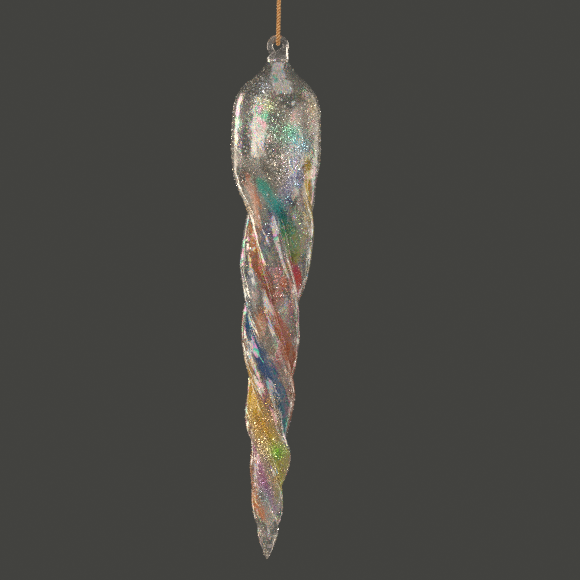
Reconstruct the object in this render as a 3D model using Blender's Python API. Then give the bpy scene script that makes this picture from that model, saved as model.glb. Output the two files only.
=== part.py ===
"""Icicle hanging ornament: a hollow twisted glass drop that hangs by a curled glass eye on a loop of gold cord.

Metres, +Z up. The origin is the hanging point, just under the knot of the cord loop, where a hook or twig bears.
The cord loop lies in the YZ plane. The glass drop hangs straight below it.
"""

import math

import bmesh
import bpy
from mathutils import Matrix, Vector

MM = 0.001

# Fits
FIT_GAP = 0.3 * MM  # between pieces that touch

# Cord loop
CORD_RADIUS = 0.8 * MM
LOOP_LENGTH = 50.0 * MM  # hanging point to the inside of the bight
BIGHT_RADIUS = 3.4 * MM  # cord's middle line round the eye
TURNING_RISE = 6.4 * MM  # the cord turns as one with the eye below this height over the bight's centre
KNOT_HEIGHT = 5.8 * MM
KNOT_RADIUS = 2.5 * MM
KNOT_FOOT = 2.6 * MM  # knot's lowest point over the hanging point
STRAND_BOW = (  # share of the way down to the bight's centre, and share of the way out to the bight's radius
    (0.0, 0.0),
    (0.05, 0.12),
    (0.13, 0.33),
    (0.25, 0.51),
    (0.41, 0.67),
    (0.59, 0.82),
    (0.75, 0.92),
    (0.9, 0.985),
)
BIGHT_ANGLES = (0, 18, 36, 54, 72, 90)  # degrees under the bight's centre
STRAND_SPACING = 3.2 * MM
TAIL_POINTS = (  # sideways, forwards, and over the knot's top
    (0.15 * MM, 1.2 * MM, 1.0 * MM),
    (0.3 * MM, 1.9 * MM, 2.05 * MM),
    (0.45 * MM, 3.0 * MM, 2.8 * MM),
    (0.6 * MM, 4.25 * MM, 3.1 * MM),
    (0.75 * MM, 5.5 * MM, 2.9 * MM),
    (0.9 * MM, 6.6 * MM, 2.25 * MM),
)
TAIL_SPACING = 1.6 * MM

# Hanging eye
EYE_HOLE_RADIUS = 2.25 * MM
EYE_ROD_RADIUS = 1.2 * MM
EYE_YAW = math.radians(18)
EYE_LAP = 0.7 * MM  # how far the rod's end comes forward where it laps the stem
STEM_HEIGHT = 5.4 * MM  # neck rim to the centre of the eye's hole
STEM_TOP_X = 3.9 * MM
STEM_TOP_Y = 2.9 * MM
STEM_SLOPE = math.radians(35)
STEM_CLEARANCE = 1.1 * MM  # stem's sloped top to the centre of the hole
PLUG_DEPTH = 3.0 * MM

# Glass drop, with heights measured up from its tip
TAPER_LENGTH = 146.0 * MM  # tip to the foot of the bulb
BULB_LENGTH = 49.0 * MM  # foot of the bulb to the neck rim
WALL = 1.1 * MM
CAVITY_FLOOR = 9.0 * MM
TAPER_FOOT_RADIUS = 5.0 * MM
TAPER_TOP_RADIUS = 15.9 * MM
TIP_LENGTH = 8.6 * MM  # how fast the taper closes to the tip
BULB_RADIUS = 17.4 * MM
BULB_FOOT_RISE = 9.0 * MM  # end of the taper up to the bulb's lower turn
BULB_FOOT_EASE = 0.2 * MM  # how far the lower turn stands inside the bulb's radius
BULB_WAIST_RISE = 17.0 * MM  # end of the taper up to the bulb's widest ring
SHOULDER_DROP = 17.5 * MM  # neck rim down to where the shoulder begins
SHOULDER_EASE = 0.8 * MM  # how far that ring stands inside the bulb's radius
SLOPE_DROP = 10.8 * MM  # neck rim down to the steepest part of the shoulder
SLOPE_EASE = 3.8 * MM
THROAT_DROP = 4.6 * MM  # neck rim down to the foot of the neck
THROAT_FLARE = 2.8 * MM  # how far the foot of the neck stands out from the neck
NECK_RADIUS = 4.3 * MM
DROP_LENGTH = TAPER_LENGTH + BULB_LENGTH

# Twist
LOBES = 4
VALLEY_DEPTH = 0.36  # share of the radius that a valley cuts in
VALLEY_WEIGHTS = ((1.4, 0.5), (1.2, 1.1), (0.65, 1.35), (0.8, 0.9))  # each valley's share, at twist top and tip
VALLEY_ROUNDING = 0.16
FLUTES_RISE = 11.0 * MM  # end of the taper up to where the flutes begin
FLUTES_FADE = 17.0 * MM  # over this length they reach their full depth
TWIST_SLOPE = 0.615  # tangent of the angle between a crease and the drop's axis
TWIST_PHASE_HEIGHT = 71.5 * MM  # a valley faces +X at this height
AXIS_SWAYS = (  # height and sideways shift of the hand-drawn drop's middle line
    (149.0 * MM, 0.0),
    (134.0 * MM, 1.8 * MM),
    (112.0 * MM, 0.6 * MM),
    (90.0 * MM, -0.7 * MM),
    (66.0 * MM, 0.1 * MM),
    (51.0 * MM, -0.9 * MM),
    (41.0 * MM, 0.6 * MM),
    (28.0 * MM, -0.5 * MM),
    (14.0 * MM, 0.0),
)

# Coloured canes that lie along the valleys, behind the wall: valley, lower and upper end, width, colour
CANE_THICKNESS = 0.5 * MM
CANE_GAP = 0.5 * MM  # between a cane and the wall's inner face
CANE_TIP_SHARE = 0.3  # a cane's width at its ends, as a share of its width
CANES = (
    ("salmon_cane", 0, 98.0 * MM, 151.0 * MM, 4.6 * MM, (0.85, 0.33, 0.22)),
    ("amber_cane", 0, 18.0 * MM, 96.0 * MM, 3.8 * MM, (0.75, 0.36, 0.12)),
    ("teal_cane", 1, 136.0 * MM, 154.0 * MM, 4.4 * MM, (0.03, 0.42, 0.42)),
    ("green_cane", 1, 120.0 * MM, 134.0 * MM, 3.8 * MM, (0.12, 0.48, 0.16)),
    ("red_cane", 1, 93.0 * MM, 118.0 * MM, 3.8 * MM, (0.70, 0.08, 0.16)),
    ("violet_cane", 1, 19.0 * MM, 91.0 * MM, 3.4 * MM, (0.55, 0.22, 0.52)),
    ("yellow_cane", 2, 112.0 * MM, 156.0 * MM, 4.4 * MM, (0.72, 0.60, 0.05)),
    ("orange_cane", 2, 80.0 * MM, 110.0 * MM, 4.0 * MM, (0.88, 0.34, 0.08)),
    ("gold_cane", 2, 22.0 * MM, 78.0 * MM, 4.0 * MM, (0.86, 0.58, 0.05)),
    ("navy_cane", 3, 106.0 * MM, 152.0 * MM, 4.6 * MM, (0.05, 0.10, 0.42)),
    ("blue_cane", 3, 42.0 * MM, 104.0 * MM, 4.0 * MM, (0.04, 0.24, 0.45)),
)

# Mesh density
SIDES = 32
RING_STEP = 4.6 * MM
TIP_RING_STEP = 2.0 * MM
TIP_ZONE = 14.0 * MM

FLUTES_START = TAPER_LENGTH + FLUTES_RISE
FLUTES_FULL = FLUTES_START - FLUTES_FADE
EYE_CENTRE_Z = -LOOP_LENGTH + FIT_GAP - EYE_HOLE_RADIUS
RIM_Z = EYE_CENTRE_Z - STEM_HEIGHT
TIP_Z = RIM_Z - DROP_LENGTH


# ---------------------------------------------------------------- scene

for old in list(bpy.data.objects):
    bpy.data.objects.remove(old, do_unlink=True)

ornament = bpy.data.collections.new("icicle_ornament")
bpy.context.scene.collection.children.link(ornament)
cutters = bpy.data.collections.new("cutters")
bpy.context.scene.collection.children.link(cutters)


def material(name, colour, roughness, metallic=0.0, transmission=0.0):
    made = bpy.data.materials.new(name)
    made.use_nodes = True
    shader = made.node_tree.nodes["Principled BSDF"]
    shader.inputs["Base Color"].default_value = (*colour, 1.0)
    shader.inputs["Roughness"].default_value = roughness
    shader.inputs["Metallic"].default_value = metallic
    shader.inputs["Transmission Weight"].default_value = transmission
    made.diffuse_color = (*colour, 1.0)
    return made


CLEAR_GLASS = material("clear_glass", (0.86, 0.88, 0.90), 0.06, transmission=1.0)
EYE_GLASS = material("eye_glass", (0.88, 0.88, 0.90), 0.05, transmission=1.0)
GOLD_CORD = material("gold_cord", (0.83, 0.52, 0.22), 0.38, metallic=0.8)


def add_mesh(name, shape, surface, collection=ornament, smooth_angle=40):
    """A named object from a bmesh, shaded smooth up to an edge angle."""
    mesh = bpy.data.meshes.new(name)
    shape.to_mesh(mesh)
    shape.free()
    mesh.shade_smooth()
    mesh.set_sharp_from_angle(angle=math.radians(smooth_angle))
    placed = bpy.data.objects.new(name, mesh)
    collection.objects.link(placed)
    if surface:
        mesh.materials.append(surface)
    return placed


def mark_as_cutter(tool):
    for collection in list(tool.users_collection):
        collection.objects.unlink(tool)
    cutters.objects.link(tool)
    tool.hide_render = True
    tool.display_type = "WIRE"


def boolean(target, tool, operation):
    mark_as_cutter(tool)
    step = target.modifiers.new(operation.lower(), "BOOLEAN")
    step.operation = operation
    step.object = tool
    step.solver = "EXACT"


def curve_to_mesh(curve_object):
    """The curve's swept solid as a mesh object with welded caps, in the curve's place."""
    bpy.context.view_layer.update()
    graph = bpy.context.evaluated_depsgraph_get()
    mesh = bpy.data.meshes.new_from_object(curve_object.evaluated_get(graph))
    shape = bmesh.new()
    shape.from_mesh(mesh)
    bmesh.ops.remove_doubles(shape, verts=shape.verts, dist=0.00001)
    shape.to_mesh(mesh)
    shape.free()
    mesh.shade_smooth()
    made = bpy.data.objects.new(curve_object.name + "_mesh", mesh)
    made.matrix_world = curve_object.matrix_world
    ornament.objects.link(made)
    bpy.data.objects.remove(curve_object, do_unlink=True)
    return made


def smooth_step(value, start, end):
    t = min(max((value - start) / (end - start), 0.0), 1.0)
    return t * t * (3 - 2 * t)


def smooth_route(points, spacing):
    """Points about one spacing apart on a smooth curve through the given points."""
    route = []
    padded = [2 * points[0] - points[1]] + points + [2 * points[-1] - points[-2]]
    for i in range(1, len(padded) - 2):
        a, b, c, d = padded[i - 1 : i + 3]
        steps = max(1, round((c - b).length / spacing))
        for step in range(steps):
            t = step / steps
            route.append(
                0.5
                * (
                    2 * b
                    + (c - a) * t
                    + (2 * a - 5 * b + 4 * c - d) * t**2
                    + (3 * b - a - 3 * c + d) * t**3
                )
            )
    route.append(points[-1])
    return route


def tube(name, route, radius, surface, resolution=2):
    """A round tube with flat ends along the route's points."""
    data = bpy.data.curves.new(name, "CURVE")
    data.dimensions = "3D"
    data.bevel_depth = radius
    data.bevel_resolution = resolution
    data.use_fill_caps = True
    spline = data.splines.new("POLY")
    spline.points.add(len(route) - 1)
    for point, place in zip(spline.points, route):
        point.co = (*place, 1.0)
    spline.use_smooth = True
    placed = bpy.data.objects.new(name, data)
    ornament.objects.link(placed)
    data.materials.append(surface)
    return placed


# ---------------------------------------------------------------- glass drop


TAPER_SLOPE = (TAPER_TOP_RADIUS - TAPER_FOOT_RADIUS) / TAPER_LENGTH
NECK_SLOPE = -0.12
BULB_STATIONS = (  # height and radius
    (TAPER_LENGTH, TAPER_TOP_RADIUS),
    (TAPER_LENGTH + BULB_FOOT_RISE, BULB_RADIUS - BULB_FOOT_EASE),
    (TAPER_LENGTH + BULB_WAIST_RISE, BULB_RADIUS),
    (DROP_LENGTH - SHOULDER_DROP, BULB_RADIUS - SHOULDER_EASE),
    (DROP_LENGTH - SLOPE_DROP, BULB_RADIUS - SLOPE_EASE),
    (DROP_LENGTH - THROAT_DROP, NECK_RADIUS + THROAT_FLARE),
    (DROP_LENGTH, NECK_RADIUS),
)


def taper_radius(height):
    """The twisted part's radius over the lobes: a straight taper that closes to the tip on an exponential."""
    line = TAPER_FOOT_RADIUS + TAPER_SLOPE * height
    return line * (1 - math.exp(-height / TIP_LENGTH))


def hermite(start, end, start_slope, end_slope, span, t):
    """A cubic between two values with given slopes."""
    rise = t * t * (3 - 2 * t)
    bend = start_slope * (t**3 - 2 * t**2 + t) + end_slope * (t**3 - t**2)
    return start + (end - start) * rise + span * bend


def envelope_radius(height):
    """The drop's radius over its lobes, on a smooth curve through the bulb's stations above the taper."""
    if height <= TAPER_LENGTH:
        return taper_radius(height)
    slopes = [TAPER_SLOPE]
    for (low, low_radius), (high, high_radius) in zip(BULB_STATIONS, BULB_STATIONS[2:]):
        slopes.append((high_radius - low_radius) / (high - low))
    slopes.append(NECK_SLOPE)
    i = 0
    while i < len(BULB_STATIONS) - 2 and height > BULB_STATIONS[i + 1][0]:
        i += 1
    (low, low_radius), (high, high_radius) = BULB_STATIONS[i], BULB_STATIONS[i + 1]
    span = high - low
    return hermite(low_radius, high_radius, slopes[i], slopes[i + 1], span, (height - low) / span)


def valley_depth(height):
    fade = smooth_step(height, FLUTES_START, FLUTES_FULL)
    tip_fade = smooth_step(height, 0.0, 1.5 * TIP_LENGTH)
    return VALLEY_DEPTH * fade * tip_fade


def twist_angle(height):
    """Left-handed twist at a constant slope, counted from the height where a valley faces +X."""
    steps = 200
    stretch = (height - TWIST_PHASE_HEIGHT) / steps
    total = 0.0
    for step in range(steps):
        middle = TWIST_PHASE_HEIGHT + (step + 0.5) * stretch
        total -= TWIST_SLOPE * stretch / max(envelope_radius(middle), TIP_LENGTH / 4)
    return total


def lobe_share(angle, height):
    """Radius over the envelope at an angle from the first valley: rounded lobes with narrow valleys between them."""
    valley = round(angle * LOBES / (2 * math.pi)) % LOBES
    at_top, at_tip = VALLEY_WEIGHTS[valley % len(VALLEY_WEIGHTS)]
    weight = at_tip + (at_top - at_tip) * min(height / FLUTES_FULL, 1.0)
    wave = math.sqrt(math.sin(LOBES * angle / 2) ** 2 + VALLEY_ROUNDING**2)
    peak = math.sqrt(1 + VALLEY_ROUNDING**2)
    return 1 - valley_depth(height) * weight * (1 - wave / peak)


def axis_shift(height):
    """How far the drop's middle line stands to the side at a height."""
    if not AXIS_SWAYS[-1][0] < height < AXIS_SWAYS[0][0]:
        return 0.0
    for (high, high_shift), (low, low_shift) in zip(AXIS_SWAYS, AXIS_SWAYS[1:]):
        if height >= low:
            return low_shift + (high_shift - low_shift) * smooth_step(height, low, high)


def wall_point(angle, height, inset=0.0):
    """A point of the drop at an angle from the first valley, turned with the twist, inset from the outer face."""
    radius = envelope_radius(height) * lobe_share(angle, height) - inset
    turned = angle + twist_angle(height)
    x = axis_shift(height) + radius * math.cos(turned)
    return Vector((x, radius * math.sin(turned), TIP_Z + height))


def ring_heights(bottom, top):
    """Heights from bottom to top, closer together in the tip and round the shoulder."""
    heights = [bottom]
    while heights[-1] < top - 0.4 * RING_STEP:
        height = heights[-1]
        shoulder = height > DROP_LENGTH - SHOULDER_DROP - RING_STEP
        step = TIP_RING_STEP if height < TIP_ZONE or shoulder else RING_STEP
        heights.append(min(height + step, top))
    heights[-1] = top
    return heights


def loft(rings, low_pole, high_pole):
    """A closed solid through rings of equal count, closed by a fan at each end."""
    shape = bmesh.new()
    rows = [[shape.verts.new(place) for place in ring] for ring in rings]
    count = len(rows[0])
    for lower, upper in zip(rows, rows[1:]):
        for i in range(count):
            j = (i + 1) % count
            shape.faces.new((lower[i], lower[j], upper[j], upper[i]))
    for row, pole in ((rows[0], low_pole), (rows[-1], high_pole)):
        centre = shape.verts.new(pole)
        for i in range(count):
            shape.faces.new((row[i], row[(i + 1) % count], centre))
    bmesh.ops.recalc_face_normals(shape, faces=shape.faces)
    return shape


def make_glass_body():
    """The hollow drop: up the outside, over the neck rim, down the inside to the cavity's floor."""
    angles = [2 * math.pi * i / SIDES for i in range(SIDES)]
    rings = [[wall_point(a, h) for a in angles] for h in ring_heights(0.6 * MM, DROP_LENGTH)]
    for height in reversed(ring_heights(CAVITY_FLOOR, DROP_LENGTH)):
        rings.append([wall_point(a, height, WALL) for a in angles])
    tip = Vector((0, 0, TIP_Z))
    floor = Vector((0, 0, TIP_Z + CAVITY_FLOOR - 0.8 * MM))
    return add_mesh("glass_body", loft(rings, tip, floor), CLEAR_GLASS)


def make_cane(name, valley, start, end, width, colour):
    """A flat cane that lies behind the wall along one valley and tapers off at both ends."""
    valley_angle = 2 * math.pi * valley / LOBES
    heights = [start]
    heights += [h for h in ring_heights(CAVITY_FLOOR, DROP_LENGTH) if start + MM < h < end - MM]
    heights.append(end)
    outer_inset = WALL + CANE_GAP
    inner_inset = outer_inset + CANE_THICKNESS
    rings = []
    for height in heights:
        reach = (height - start) / (end - start)
        half = 0.5 * width * max(math.sin(math.pi * reach), CANE_TIP_SHARE) / envelope_radius(height)
        across = [valley_angle + half * k for k in (-1.0, 0.0, 1.0)]
        outer = [wall_point(a, height, outer_inset) for a in across]
        inner = [wall_point(a, height, inner_inset) for a in reversed(across)]
        rings.append(outer + inner)
    poles = [sum(ring, Vector()) / len(ring) for ring in (rings[0], rings[-1])]
    surface = material(name + "_glass", colour, 0.1, transmission=0.8)
    return add_mesh(name, loft(rings, *poles), surface)


# ---------------------------------------------------------------- hanging eye


def make_hanging_eye():
    """A glass rod curled into a ring, its end lapped over a stem that plugs the neck."""
    ring_radius = EYE_HOLE_RADIUS + EYE_ROD_RADIUS
    first, last, count = -40, 250, 30
    route = []
    for i in range(count + 1):
        angle = math.radians(first + (last - first) * i / count)
        lap = EYE_LAP * (1 - 2 * i / count)
        route.append(Vector((ring_radius * math.cos(angle), lap, ring_radius * math.sin(angle))))
    rod = curve_to_mesh(tube("eye_rod", route, EYE_ROD_RADIUS, EYE_GLASS, resolution=3))

    stem_rings = []
    for share in (0.0, 0.5, 1.0):
        width = NECK_RADIUS + (STEM_TOP_X - NECK_RADIUS) * share
        depth = NECK_RADIUS + (STEM_TOP_Y - NECK_RADIUS) * share
        height = -STEM_HEIGHT + FIT_GAP + (STEM_HEIGHT + EYE_HOLE_RADIUS) * share
        stem_rings.append([
            Vector((width * math.cos(a), depth * math.sin(a), height))
            for a in (2 * math.pi * i / 24 for i in range(24))
        ])
    plug_radius = NECK_RADIUS - WALL - FIT_GAP
    plug_rings = [
        [Vector((plug_radius * share * math.cos(a), plug_radius * share * math.sin(a), height))
         for a in (2 * math.pi * i / 24 for i in range(24))]
        for share, height in ((0.8, -STEM_HEIGHT - PLUG_DEPTH), (1.0, -STEM_HEIGHT + FIT_GAP))
    ]
    rings = plug_rings + stem_rings
    ends = [Vector((0, 0, ring[0].z)) for ring in (rings[0], rings[-1])]
    eye = add_mesh("hanging_eye", loft(rings, *ends), EYE_GLASS)

    block = bmesh.new()
    bmesh.ops.create_cube(block, size=1.0)
    slab = add_mesh("stem_slope", block, None)
    size = 6 * ring_radius
    outward = Matrix.Rotation(STEM_SLOPE, 4, "Y").inverted()
    slab.matrix_world = outward @ Matrix.Translation((0, 0, size / 2 - STEM_CLEARANCE)) @ Matrix.Scale(size, 4)
    boolean(eye, slab, "DIFFERENCE")
    boolean(eye, rod, "UNION")

    place = Matrix.Translation((0, 0, EYE_CENTRE_Z)) @ Matrix.Rotation(EYE_YAW, 4, "Z")
    for piece in (eye, slab, rod):
        piece.matrix_world = place @ piece.matrix_world
    return eye


# ---------------------------------------------------------------- cord

BIGHT_Z = -LOOP_LENGTH - CORD_RADIUS + BIGHT_RADIUS  # centre of the bight's half circle
TURNING_Z = BIGHT_Z + TURNING_RISE
STRAND_TOP_Y = CORD_RADIUS + FIT_GAP / 2  # the strands lie side by side under the knot
STRAND_TOP_Z = KNOT_FOOT - FIT_GAP
KNOT_TOP_Z = KNOT_FOOT + KNOT_HEIGHT


def strand_points():
    """The front strand's middle line from the knot down to the bight, then round under the eye to the lowest point."""
    straight = []
    for down, out in STRAND_BOW:
        y = STRAND_TOP_Y + (BIGHT_RADIUS - STRAND_TOP_Y) * out
        z = STRAND_TOP_Z + (BIGHT_Z - STRAND_TOP_Z) * down
        straight.append(Vector((0, -y, z)))
    turn = []
    for degrees in BIGHT_ANGLES:
        angle = math.radians(degrees)
        turn.append(Vector((0, -BIGHT_RADIUS * math.cos(angle), BIGHT_Z - BIGHT_RADIUS * math.sin(angle))))
    return straight, turn


def mirrored(route):
    """The rear strand's route for a front strand's."""
    return [Vector((p.x, -p.y, p.z)) for p in route]


def make_cord():
    """Two strands down from the knot, the bight through the eye, the knot, and the two cut tails."""
    straight, turn = strand_points()
    front = smooth_route(straight + turn, STRAND_SPACING)
    cut = next(i for i, p in enumerate(front) if p.z < TURNING_Z)
    share = (front[cut - 1].z - TURNING_Z) / (front[cut - 1].z - front[cut].z)
    joint = front[cut - 1].lerp(front[cut], share)
    split = Vector((0, 0, FIT_GAP / 2))
    above = [p for p in front[:cut] if p.z > TURNING_Z + CORD_RADIUS]
    below = [p for p in front[cut:] if p.z < TURNING_Z - CORD_RADIUS]
    front_run = above + [joint + split]
    tube("cord_front_strand", front_run, CORD_RADIUS, GOLD_CORD)
    tube("cord_rear_strand", mirrored(front_run), CORD_RADIUS, GOLD_CORD)
    half_bight = [joint - split] + below
    tube("cord_bight", half_bight + mirrored(reversed(half_bight))[1:], CORD_RADIUS, GOLD_CORD)

    ball = bmesh.new()
    bmesh.ops.create_uvsphere(ball, u_segments=20, v_segments=12, radius=1.0)
    scale = Matrix.Diagonal((KNOT_RADIUS, KNOT_RADIUS, KNOT_HEIGHT / 2, 1.0))
    bmesh.ops.transform(ball, matrix=Matrix.Translation((0, 0, KNOT_FOOT + KNOT_HEIGHT / 2)) @ scale, verts=ball.verts)
    add_mesh("cord_knot", ball, GOLD_CORD)

    tail = [Vector((0, -STRAND_TOP_Y, KNOT_TOP_Z + FIT_GAP))]
    for x, y, rise in TAIL_POINTS:
        tail.append(Vector((x, -y, KNOT_TOP_Z + rise)))
    tube("cord_front_tail", smooth_route(tail, TAIL_SPACING), CORD_RADIUS, GOLD_CORD)
    rear_tail = [Vector((-p.x, -p.y, p.z)) for p in tail]
    tube("cord_rear_tail", smooth_route(rear_tail, TAIL_SPACING), CORD_RADIUS, GOLD_CORD)


make_glass_body()
for cane in CANES:
    make_cane(*cane)
make_hanging_eye()
make_cord()
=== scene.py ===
from math import cos, exp, pi, radians, sin, tau

import bmesh
import bpy
import numpy as np
from mathutils import Matrix, Vector


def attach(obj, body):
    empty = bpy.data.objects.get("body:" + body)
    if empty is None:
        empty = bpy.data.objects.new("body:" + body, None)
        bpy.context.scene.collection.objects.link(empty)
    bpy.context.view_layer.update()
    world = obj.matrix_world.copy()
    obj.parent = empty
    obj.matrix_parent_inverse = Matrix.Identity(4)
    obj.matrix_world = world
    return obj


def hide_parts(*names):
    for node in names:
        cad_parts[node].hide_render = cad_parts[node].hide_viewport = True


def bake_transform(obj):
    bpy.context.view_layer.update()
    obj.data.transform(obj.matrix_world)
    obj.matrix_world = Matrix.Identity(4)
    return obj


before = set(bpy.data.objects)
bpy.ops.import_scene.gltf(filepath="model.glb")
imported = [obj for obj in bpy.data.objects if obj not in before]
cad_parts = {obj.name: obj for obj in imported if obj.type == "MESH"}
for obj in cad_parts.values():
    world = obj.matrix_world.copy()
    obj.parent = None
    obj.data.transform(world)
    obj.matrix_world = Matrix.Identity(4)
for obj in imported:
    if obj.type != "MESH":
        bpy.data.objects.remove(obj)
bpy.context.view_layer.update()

MM = 0.001

# ---- sizes, as in the CAD design

CORD_RADIUS = 0.8 * MM
LOOP_LENGTH = 50.0 * MM
BIGHT_RADIUS = 3.4 * MM
FIT_GAP = 0.3 * MM
KNOT_FOOT = 2.6 * MM
KNOT_HEIGHT = 5.8 * MM
KNOT_RADIUS = 2.5 * MM
EYE_HOLE_RADIUS = 2.25 * MM
STEM_HEIGHT = 5.4 * MM

TAPER_LENGTH = 146.0 * MM
DROP_LENGTH = TAPER_LENGTH + 49.0 * MM
WALL = 1.1 * MM
CAVITY_FLOOR = 9.0 * MM
TAPER_FOOT_RADIUS = 5.0 * MM
TAPER_TOP_RADIUS = 15.9 * MM
TIP_LENGTH = 8.6 * MM
BULB_RADIUS = 17.4 * MM
NECK_RADIUS = 4.3 * MM
NECK_SLOPE = -0.12
TAPER_SLOPE = (TAPER_TOP_RADIUS - TAPER_FOOT_RADIUS) / TAPER_LENGTH
BULB_STATIONS = (  # height and radius
    (TAPER_LENGTH, TAPER_TOP_RADIUS),
    (TAPER_LENGTH + 9.0 * MM, BULB_RADIUS - 0.2 * MM),
    (TAPER_LENGTH + 17.0 * MM, BULB_RADIUS),
    (DROP_LENGTH - 17.5 * MM, BULB_RADIUS - 0.8 * MM),
    (DROP_LENGTH - 10.8 * MM, BULB_RADIUS - 3.8 * MM),
    (DROP_LENGTH - 4.6 * MM, NECK_RADIUS + 2.8 * MM),
    (DROP_LENGTH, NECK_RADIUS),
)
LOBES = 4
VALLEY_DEPTH = 0.36
VALLEY_WEIGHTS = ((1.4, 0.5), (1.2, 1.1), (0.65, 1.35), (0.8, 0.9))  # at twist top and at the tip
VALLEY_ROUNDING = 0.11
FLUTES_START = TAPER_LENGTH + 11.0 * MM
FLUTES_FULL = FLUTES_START - 17.0 * MM
TWIST_SLOPE = 0.615
TWIST_STEPS = 200
TWIST_PHASE_HEIGHT = 71.5 * MM
AXIS_SWAYS = (  # height and sideways shift of the middle line, which wanders as the glass is drawn by hand
    (149.0 * MM, 0.0),
    (134.0 * MM, 1.8 * MM),
    (112.0 * MM, 0.6 * MM),
    (90.0 * MM, -0.7 * MM),
    (66.0 * MM, 0.1 * MM),
    (51.0 * MM, -0.9 * MM),
    (41.0 * MM, 0.6 * MM),
    (28.0 * MM, -0.5 * MM),
    (14.0 * MM, 0.0),
)
EYE_CENTRE_Z = -LOOP_LENGTH + FIT_GAP - EYE_HOLE_RADIUS
RIM_Z = EYE_CENTRE_Z - STEM_HEIGHT
TIP_Z = RIM_Z - DROP_LENGTH


# ---- camera

VIEW_CENTRE_X = 6.7 * MM
VIEW_CENTRE_Z = -146.9 * MM
VIEW_SIDE = 226.6 * MM
VIEW_DISTANCE = 800 * MM
VIEW_ROLL = radians(1.22)
SENSOR = 36.0  # millimetres, the camera's own unit


def make_camera():
    """A level camera in front of the drop, rolled a little as a hand-held one is."""
    data = bpy.data.cameras.new("camera")
    data.sensor_width = SENSOR
    data.lens = SENSOR * VIEW_DISTANCE / VIEW_SIDE
    data.clip_start = 10 * MM
    camera = bpy.data.objects.new("camera", data)
    look = Matrix.Rotation(radians(90), 4, "X") @ Matrix.Rotation(VIEW_ROLL, 4, "Z")
    camera.matrix_world = Matrix.Translation((VIEW_CENTRE_X, -VIEW_DISTANCE, VIEW_CENTRE_Z)) @ look
    bpy.context.scene.collection.objects.link(camera)
    bpy.context.scene.camera = camera


make_camera()


# ---- tools for trees and meshes

SIZE_KINDS = {"Seed": "Int", "Surface": "Material"}  # a shape tree's other sizes are floats
MERGE_DISTANCE = 1e-7


def socket_of(sockets, key):
    """A node's socket by number, or the one in use of that name."""
    if isinstance(key, int):
        return sockets[key]
    named = [s for s in sockets if s.name == key]
    used = [s for s in named if s.enabled]
    return (used or named)[0]


def node(tree, kind, inputs=None, **settings):
    """A new node with its settings, and its inputs set to values or linked to sockets."""
    made = tree.nodes.new(kind)
    for key, value in settings.items():
        setattr(made, key, value)
    for key, value in (inputs or {}).items():
        target = socket_of(made.inputs, key)
        if isinstance(value, bpy.types.NodeSocket):
            tree.links.new(value, target)
        else:
            target.default_value = value
    return made


def maths(tree, operation, *values):
    return node(tree, "ShaderNodeMath", dict(enumerate(values)), operation=operation).outputs[0]


def product(tree, first, *others):
    """The values multiplied together."""
    for other in others:
        first = maths(tree, "MULTIPLY", first, other)
    return first


def point_of(tree, x, y, z=0.0):
    """A place from its three numbers."""
    return node(tree, "ShaderNodeCombineXYZ", {"X": x, "Y": y, "Z": z}).outputs[0]


def noise_at(tree, place, scale, detail=3.0, seed=0.0, rough=0.5):
    """Noise with this many waves to the metre."""
    inputs = {"Vector": place, "Scale": scale, "Detail": detail, "W": seed, "Roughness": rough}
    return node(tree, "ShaderNodeTexNoise", inputs, noise_dimensions="4D").outputs[0]


def start_tree(name, *sizes):
    """A new shape tree with its named sizes, and its input and output sockets."""
    tree = bpy.data.node_groups.new(name, "GeometryNodeTree")
    tree.is_modifier = True
    tree.interface.new_socket("Geometry", in_out="INPUT", socket_type="NodeSocketGeometry")
    for label in sizes:
        kind = "NodeSocket" + SIZE_KINDS.get(label, "Float")
        tree.interface.new_socket(label, in_out="INPUT", socket_type=kind)
    tree.interface.new_socket("Geometry", in_out="OUTPUT", socket_type="NodeSocketGeometry")
    return tree, tree.nodes.new("NodeGroupInput").outputs, tree.nodes.new("NodeGroupOutput").inputs


def finish_tree(tree, shape, surface, outputs):
    """Ends a tree in Realize Instances and Set Material."""
    real = node(tree, "GeometryNodeRealizeInstances", {"Geometry": shape})
    painted = node(tree, "GeometryNodeSetMaterial", {"Geometry": real.outputs[0], "Material": surface})
    tree.links.new(painted.outputs[0], outputs["Geometry"])


def shaded_smooth(tree, shape):
    return node(tree, "GeometryNodeSetShadeSmooth", {"Geometry": shape, "Shade Smooth": True}).outputs[0]


def attribute_in(tree, name):
    """A value kept on the mesh, read in a shape tree."""
    return node(tree, "GeometryNodeInputNamedAttribute", {"Name": name}, data_type="FLOAT").outputs[0]


def keep_on(tree, shape, name, value):
    """Keeps a value on the shape's points under this name."""
    inputs = {"Geometry": shape, "Name": name, "Value": value}
    kept = node(tree, "GeometryNodeStoreNamedAttribute", inputs, data_type="FLOAT", domain="POINT")
    return kept.outputs[0]


def add_object(name, data):
    made = bpy.data.objects.new(name, data)
    bpy.context.scene.collection.objects.link(made)
    return made


def grown(base, tree, values, name):
    """A plain mesh object from a base object and a tree with these sizes; the base is removed."""
    modifier = base.modifiers.new("shape", "NODES")
    modifier.node_group = tree
    for item in tree.interface.items_tree:
        if item.in_out == "INPUT" and item.name in values:
            modifier[item.identifier] = values[item.name]
    bpy.context.view_layer.update()
    depsgraph = bpy.context.evaluated_depsgraph_get()
    mesh = bpy.data.meshes.new_from_object(
        base.evaluated_get(depsgraph), preserve_all_data_layers=True, depsgraph=depsgraph
    )
    mesh.name = name
    base.modifiers.remove(modifier)
    bpy.data.objects.remove(base)
    return add_object(name, mesh)


def face_outwards(piece):
    """Turns the faces of a closed shape outwards, after its doubles are merged."""
    shape = bmesh.new()
    shape.from_mesh(piece.data)
    bmesh.ops.remove_doubles(shape, verts=shape.verts, dist=MERGE_DISTANCE)
    bmesh.ops.recalc_face_normals(shape, faces=shape.faces)
    shape.to_mesh(piece.data)
    shape.free()


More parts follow.
